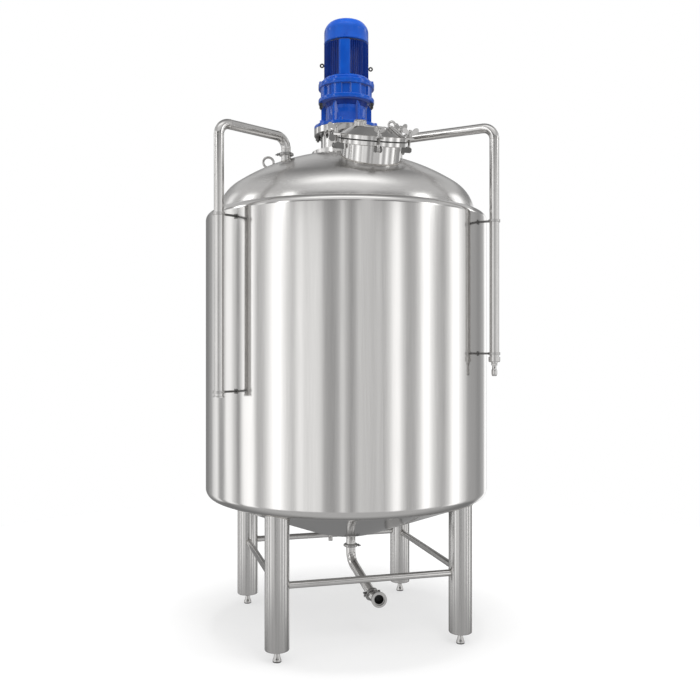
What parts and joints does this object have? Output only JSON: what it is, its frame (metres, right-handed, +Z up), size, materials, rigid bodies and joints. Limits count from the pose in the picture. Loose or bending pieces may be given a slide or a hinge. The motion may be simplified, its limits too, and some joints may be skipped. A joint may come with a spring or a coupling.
{
  "type": "vacuum mixing tank",
  "caption": "Upright insulated stainless mixing tank on legs, with a dished top, a bolted round manway, an upright gear motor drive, clamped side pipes and a bottom outlet.",
  "frame": {"origin": "on the tank's axis at floor level, under the centre of the vessel", "axes": "+Z up along the tank's axis; -Y is the front, where the manway is; +X is to the right seen from the front"},
  "size_m": [1.8168, 1.8, 3.887],
  "materials": {
    "shell_steel": "satin stainless sheet with soft vertical bands",
    "head_steel": "polished stainless plate",
    "tube_steel": "polished stainless tube",
    "fitting_steel": "turned and cast stainless steel",
    "gasket_rubber": "black, matt",
    "drive_paint": "royal blue, satin",
    "fin_paint": "darker blue, satin"
  },
  "bodies": {
    "tank": {"cladding": "shell_steel", "vessel_wall": "shell_steel", "bottom_head": "head_steel", "top_head": "head_steel", "leg_front_left": "tube_steel", "leg_front_right": "tube_steel", "leg_back_right": "tube_steel", "leg_back_left": "tube_steel", "foot_front_left": "fitting_steel", "foot_front_right": "fitting_steel", "foot_back_right": "fitting_steel", "foot_back_left": "fitting_steel", "brace_front": "tube_steel", "brace_right": "tube_steel", "brace_back": "tube_steel", "brace_left": "tube_steel", "drive_neck": "fitting_steel", "gearbox_housing": "drive_paint", "gearbox_ring": "drive_paint", "motor_body": "fin_paint", "fan_cowl": "drive_paint", "terminal_box": "drive_paint", "manway_neck": "head_steel", "manway_gasket": "gasket_rubber", "left_nozzle": "tube_steel", "left_clamp": "fitting_steel", "left_pipe": "tube_steel", "left_upper_bracket": "fitting_steel", "left_lower_bracket": "fitting_steel", "right_nozzle": "tube_steel", "right_clamp": "fitting_steel", "right_pipe": "tube_steel", "right_upper_bracket": "fitting_steel", "right_lower_bracket": "fitting_steel", "lifting_lug_left": "fitting_steel", "lifting_lug_right": "fitting_steel", "outlet_nozzle": "tube_steel", "outlet_clamp": "fitting_steel", "outlet_pipe": "tube_steel", "outlet_end_clamp": "fitting_steel", "outlet_end": "fitting_steel", "drain_stub": "tube_steel"},
    "lid": {"manway_lid": "head_steel", "sight_cap": "fitting_steel", "lid_handle": "fitting_steel", "wing_nut_right": "fitting_steel", "wing_nut_back": "fitting_steel", "wing_nut_left": "fitting_steel", "wing_nut_front": "fitting_steel"},
    "bolt_right": {"swing_bolt_right": "fitting_steel"},
    "bolt_back": {"swing_bolt_back": "fitting_steel"},
    "bolt_left": {"swing_bolt_left": "fitting_steel"},
    "bolt_front": {"swing_bolt_front": "fitting_steel"}
  },
  "joints": [
    {"name": "lid_hinge", "type": "hinge", "parent": "tank", "child": "lid", "pos_m": [-0.20785, -0.4612, 3.04046], "axis": [-0.5, -0.8304, -0.246], "range_deg": [0, 95]},
    {"name": "bolt_right_swing", "type": "hinge", "parent": "tank", "child": "bolt_right", "pos_m": [0.22078, -0.58147, 2.94226], "axis": [0.1045, 0.9536, 0.2825], "range_deg": [0, 80]},
    {"name": "bolt_back_swing", "type": "hinge", "parent": "tank", "child": "bolt_back", "pos_m": [0.19953, -0.46591, 2.97649], "axis": [-0.4384, 0.8618, 0.2553], "range_deg": [0, 80]},
    {"name": "bolt_left_swing", "type": "hinge", "parent": "tank", "child": "bolt_left", "pos_m": [-0.22146, -0.57407, 2.94446], "axis": [0.0698, -0.9565, -0.2833], "range_deg": [0, 80]},
    {"name": "bolt_front_swing", "type": "hinge", "parent": "tank", "child": "bolt_front", "pos_m": [-0.02513, -0.77071, 2.88621], "axis": [0.9936, -0.1085, -0.0322], "range_deg": [0, 80]}
  ]
}
